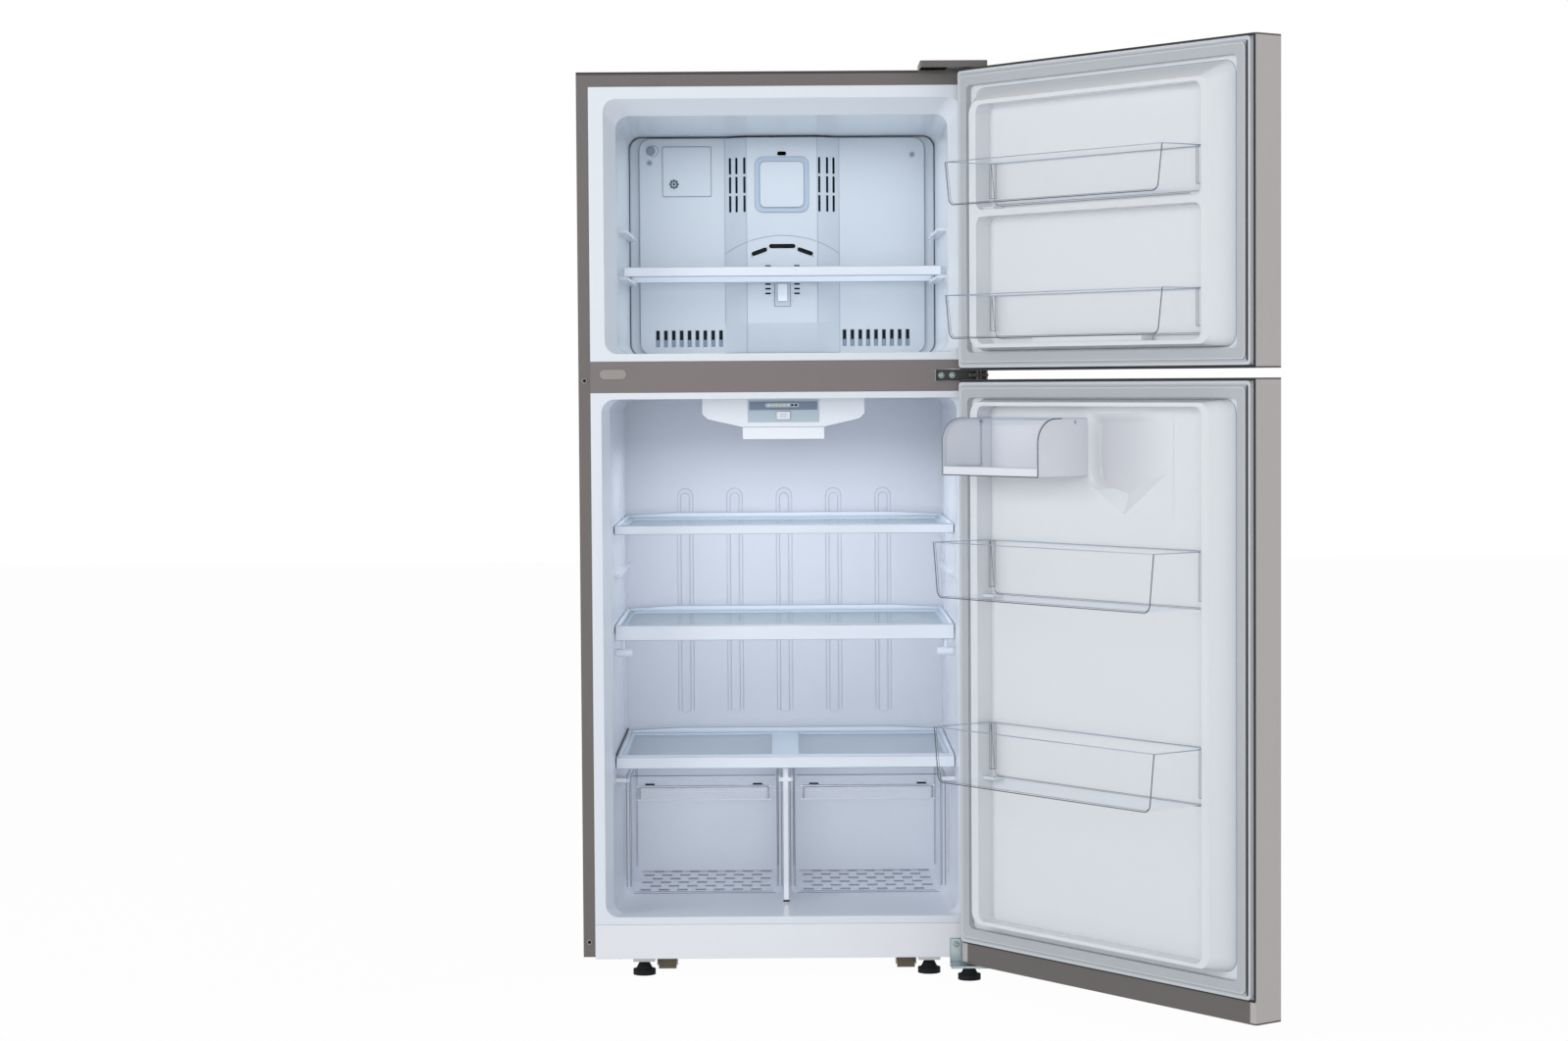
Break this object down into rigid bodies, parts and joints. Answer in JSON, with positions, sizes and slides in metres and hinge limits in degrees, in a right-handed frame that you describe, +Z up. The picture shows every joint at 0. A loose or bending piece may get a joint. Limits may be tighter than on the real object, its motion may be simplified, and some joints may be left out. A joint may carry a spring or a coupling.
{
  "type": "top freezer refrigerator",
  "caption": "Top freezer refrigerator with both doors open, glass shelves, crisper drawers, door bins, a dairy compartment and a rear machine compartment.",
  "frame": {"origin": "on the floor under the middle of the cabinet's front flange", "axes": "+X to the hinge side, +Y to the back of the cabinet, +Z up"},
  "size_m": [1.2037, 1.3654, 1.6865],
  "materials": {
    "case_grey": "textured",
    "mullion_grey": "satin",
    "door_steel": "brushed",
    "galvanised": "satin",
    "zinc": "satin",
    "foam": "matt",
    "liner_white": "gloss",
    "white_plastic": "gloss",
    "cap_grey": "satin",
    "dark_plastic": "matt",
    "gasket_grey": "matt",
    "clear_plastic": "clear",
    "shelf_glass": "clear",
    "panel_grey": "satin",
    "roller_tan": "satin",
    "machine_black": "satin",
    "fin_aluminium": "satin",
    "fan_grey": "satin"
  },
  "bodies": {
    "cabinet": {"base_brackets": "galvanised", "base_deck": "galvanised", "bottom_hinge": "zinc", "cabinet_foam": "foam", "cabinet_wrapper": "case_grey", "centre_hinge": "zinc", "compressor": "machine_black", "condenser_coil": "machine_black", "control_housing": "white_plastic", "control_panel": "panel_grey", "crisper_cover_frame": "white_plastic", "crisper_rails": "white_plastic", "drain_pan": "dark_plastic", "evaporator": "fin_aluminium", "evaporator_cover": "white_plastic", "evaporator_cover_trims": "white_plastic", "freezer_liner": "liner_white", "freezer_shelf_trim": "white_plastic", "fridge_liner": "liner_white", "front_trims": "cap_grey", "lamp_cover": "white_plastic", "lower_shelf_frame": "white_plastic", "machine_cover": "galvanised", "mullion_rail": "mullion_grey", "rear_panel": "galvanised", "shelf_glass": "shelf_glass", "toe_panel": "liner_white", "top_edge_trim": "dark_plastic", "top_hinge": "zinc", "top_hinge_cover": "cap_grey", "upper_shelf_frame": "white_plastic"},
    "freezer_door": {"freezer_bin_lower": "clear_plastic", "freezer_bin_upper": "clear_plastic", "freezer_door_caps": "cap_grey", "freezer_door_foam": "foam", "freezer_door_gasket": "gasket_grey", "freezer_door_liner": "liner_white", "freezer_door_panel": "door_steel"},
    "fridge_door": {"dairy_box": "white_plastic", "fridge_bin_lower": "clear_plastic", "fridge_bin_upper": "clear_plastic", "fridge_door_caps": "cap_grey", "fridge_door_foam": "foam", "fridge_door_gasket": "gasket_grey", "fridge_door_liner": "liner_white", "fridge_door_panel": "door_steel"},
    "dairy_lid": {"dairy_lid": "clear_plastic"},
    "crisper_left": {"crisper_left": "clear_plastic"},
    "crisper_right": {"crisper_right": "clear_plastic"},
    "freezer_slider": {"freezer_slider": "white_plastic"},
    "control_button": {"control_button": "white_plastic"},
    "front_foot_left": {"front_foot_left": "dark_plastic"},
    "front_foot_right": {"front_foot_right": "dark_plastic"},
    "hinge_foot": {"hinge_foot": "dark_plastic"},
    "front_roller_left": {"front_roller_left": "roller_tan"},
    "front_roller_right": {"front_roller_right": "roller_tan"},
    "rear_roller_left": {"rear_roller_left": "roller_tan"},
    "rear_roller_right": {"rear_roller_right": "roller_tan"},
    "evaporator_fan": {"evaporator_fan": "fan_grey"},
    "condenser_fan": {"condenser_fan": "fan_grey"}
  },
  "joints": [
    {"name": "freezer_door_hinge", "type": "hinge", "parent": "cabinet", "child": "freezer_door", "pos_m": [0.358, -0.039, 1.397], "axis": [0, 0, 1], "range_deg": [-127, 3]},
    {"name": "fridge_door_hinge", "type": "hinge", "parent": "cabinet", "child": "fridge_door", "pos_m": [0.358, -0.039, 0.568], "axis": [0, 0, 1], "range_deg": [-127, 3]},
    {"name": "dairy_lid_hinge", "type": "hinge", "parent": "fridge_door", "child": "dairy_lid", "pos_m": [0.43124, -0.23423, 1.0305], "axis": [-0.6018, 0.7986, 0], "range_deg": [0, 40]},
    {"name": "crisper_left_slide", "type": "slide", "parent": "cabinet", "child": "crisper_left", "axis": [0, -1, 0], "range_m": [0, 0.22]},
    {"name": "crisper_right_slide", "type": "slide", "parent": "cabinet", "child": "crisper_right", "axis": [0, -1, 0], "range_m": [0, 0.22]},
    {"name": "air_slider_slide", "type": "slide", "parent": "cabinet", "child": "freezer_slider", "axis": [0, 0, 1], "range_m": [-0.008, 0.005]},
    {"name": "control_button_push", "type": "slide", "parent": "cabinet", "child": "control_button", "axis": [0, 1, 0], "range_m": [0, 0.002], "stiffness_N_per_m": 300},
    {"name": "front_foot_left_screw", "type": "slide", "parent": "cabinet", "child": "front_foot_left", "axis": [0, 0, -1], "range_m": [0, 0.012]},
    {"name": "front_foot_right_screw", "type": "slide", "parent": "cabinet", "child": "front_foot_right", "axis": [0, 0, -1], "range_m": [0, 0.012]},
    {"name": "hinge_foot_screw", "type": "slide", "parent": "cabinet", "child": "hinge_foot", "axis": [0, 0, -1], "range_m": [0, 0.006]},
    {"name": "front_roller_left_spin", "type": "hinge", "parent": "cabinet", "child": "front_roller_left", "pos_m": [-0.2245, 0.088, 0.017], "axis": [1, 0, 0], "continuous": true},
    {"name": "front_roller_right_spin", "type": "hinge", "parent": "cabinet", "child": "front_roller_right", "pos_m": [0.2245, 0.088, 0.017], "axis": [1, 0, 0], "continuous": true},
    {"name": "rear_roller_left_spin", "type": "hinge", "parent": "cabinet", "child": "rear_roller_left", "pos_m": [-0.2245, 0.64, 0.017], "axis": [1, 0, 0], "continuous": true},
    {"name": "rear_roller_right_spin", "type": "hinge", "parent": "cabinet", "child": "rear_roller_right", "pos_m": [0.2245, 0.64, 0.017], "axis": [1, 0, 0], "continuous": true},
    {"name": "evaporator_fan_spin", "type": "hinge", "parent": "cabinet", "child": "evaporator_fan", "pos_m": [0, 0.6, 1.49], "axis": [0, 1, 0], "continuous": true},
    {"name": "condenser_fan_spin", "type": "hinge", "parent": "cabinet", "child": "condenser_fan", "pos_m": [0.03, 0.59, 0.15], "axis": [1, 0, 0], "continuous": true}
  ]
}
